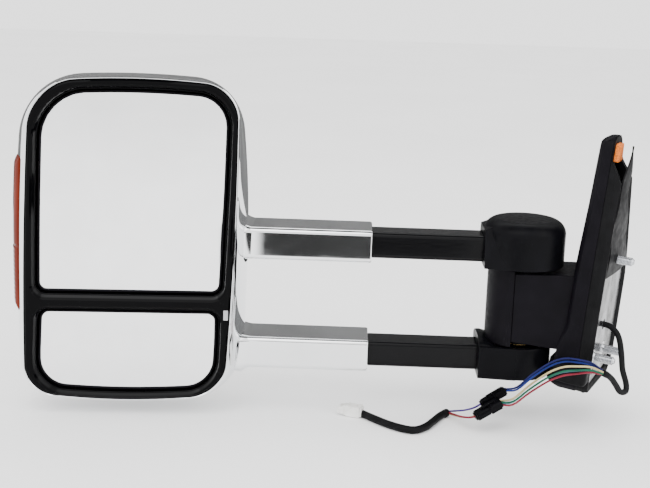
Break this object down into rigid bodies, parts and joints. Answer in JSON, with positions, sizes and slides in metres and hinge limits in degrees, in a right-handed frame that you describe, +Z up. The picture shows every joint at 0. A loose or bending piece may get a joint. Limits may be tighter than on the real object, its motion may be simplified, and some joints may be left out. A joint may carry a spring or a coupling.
{
  "type": "telescopic side mirror",
  "caption": "Telescopic towing side mirror with a chrome head, split mirror panes, sliding twin arms, folding door base and wiring harness.",
  "frame": {"origin": "centre of the base's mounting face on the door", "axes": "+X inboard along the arms, +Y towards the front of the car, +Z up"},
  "size_m": [0.5655, 0.1273, 0.3088],
  "materials": {
    "cast_plate": "dark grey painted casting, satin",
    "black_plastic": "fine grained matt black",
    "gloss_black": "polished black",
    "white_nylon": "natural nylon",
    "light_plastic": "light grey, satin",
    "gasket_rubber": "matt",
    "orange_foam": "open cell foam",
    "zinc_steel": "zinc plated",
    "brass_bush": "machined",
    "chrome": "mirror polish",
    "black_metal": "satin black",
    "lens_red": "clear red amber",
    "board_green": "solder mask",
    "mirror_glass": "silvered glass",
    "heater_foil": "etched foil on film",
    "braid": "woven sleeve",
    "wire_jackets": "coloured insulation",
    "white_plug": "moulded"
  },
  "bodies": {
    "base": {"mount_casting": "cast_plate", "base_cover": "black_plastic", "arm_cover": "black_plastic", "post_cover": "black_plastic", "door_gasket": "gasket_rubber", "gasket_flap": "gasket_rubber", "foam_seal": "orange_foam", "mount_studs": "zinc_steel", "cable_grommet": "gasket_rubber", "cover_screws": "zinc_steel", "upper_pivot_bush": "brass_bush", "lower_pivot_bush": "brass_bush", "friction_washers": "brass_bush", "braided_cable": "braid", "motor_wires": "wire_jackets", "lamp_wires": "wire_jackets", "two_way_connector": "black_plastic", "four_way_connector": "black_plastic", "tail_wires": "wire_jackets", "tail_sheath": "gasket_rubber", "plug": "white_plug"},
    "arms": {"pivot_shaft": "zinc_steel", "upper_knuckle": "black_metal", "upper_knuckle_cap": "black_plastic", "lower_knuckle": "black_metal", "lower_knuckle_cap": "black_plastic", "fold_spring": "zinc_steel", "spring_cup": "zinc_steel", "pivot_nut": "zinc_steel", "upper_tube": "black_metal", "lower_tube": "black_metal", "tube_end_guides": "white_nylon", "tube_screws": "zinc_steel"},
    "head": {"head_shell": "chrome", "front_bezel": "gloss_black", "upper_sleeve": "chrome", "lower_sleeve": "chrome", "sleeve_bushes": "white_nylon", "inner_frame": "black_plastic", "indicator_lens": "lens_red", "indicator_tray": "light_plastic", "led_board": "board_green", "actuator_case": "black_plastic", "actuator_motors": "zinc_steel", "lower_swivel_post": "black_plastic", "head_screws": "zinc_steel", "bezel_clip": "light_plastic"},
    "upper_gimbal_ring": {"upper_gimbal": "white_nylon"},
    "upper_mirror": {"upper_glass": "mirror_glass", "upper_glass_holder": "black_plastic", "heater_pad": "heater_foil"},
    "pan_jack_rod": {"pan_jack": "white_nylon"},
    "tilt_jack_rod": {"tilt_jack": "white_nylon"},
    "lower_gimbal_ring": {"lower_gimbal": "white_nylon"},
    "lower_mirror": {"lower_glass": "mirror_glass", "lower_glass_holder": "black_plastic"}
  },
  "joints": [
    {"name": "arm_fold", "type": "hinge", "parent": "base", "child": "arms", "pos_m": [-0.082, 0, 0], "axis": [0, 0, 1], "range_deg": [-60, 60]},
    {"name": "arm_slide", "type": "slide", "parent": "arms", "child": "head", "axis": [1, 0, 0], "range_m": [0, 0.07]},
    {"name": "upper_pan", "type": "hinge", "parent": "head", "child": "upper_gimbal_ring", "pos_m": [-0.43676, -0.02901, 0.097], "axis": [0, 0, 1], "range_deg": [-6, 6]},
    {"name": "upper_tilt", "type": "hinge", "parent": "upper_gimbal_ring", "child": "upper_mirror", "pos_m": [-0.43676, -0.02901, 0.097], "axis": [0.9976, 0.0698, 0], "range_deg": [-6, 6]},
    {"name": "pan_jack_slide", "type": "slide", "parent": "head", "child": "pan_jack_rod", "axis": [-0.0698, 0.9976, 0], "range_m": [-0.004, 0.004]},
    {"name": "tilt_jack_slide", "type": "slide", "parent": "head", "child": "tilt_jack_rod", "axis": [-0.0698, 0.9976, 0], "range_m": [-0.004, 0.004]},
    {"name": "lower_pan", "type": "hinge", "parent": "head", "child": "lower_gimbal_ring", "pos_m": [-0.43676, -0.02901, -0.048], "axis": [0, 0, 1], "range_deg": [-6, 6]},
    {"name": "lower_tilt", "type": "hinge", "parent": "lower_gimbal_ring", "child": "lower_mirror", "pos_m": [-0.43676, -0.02901, -0.048], "axis": [0.9976, 0.0698, 0], "range_deg": [-6, 6]}
  ],
  "couplings": [
    {"joint": "pan_jack_slide", "follows": "upper_pan", "m_per_rad": 0.038},
    {"joint": "tilt_jack_slide", "follows": "upper_tilt", "m_per_rad": -0.038}
  ]
}
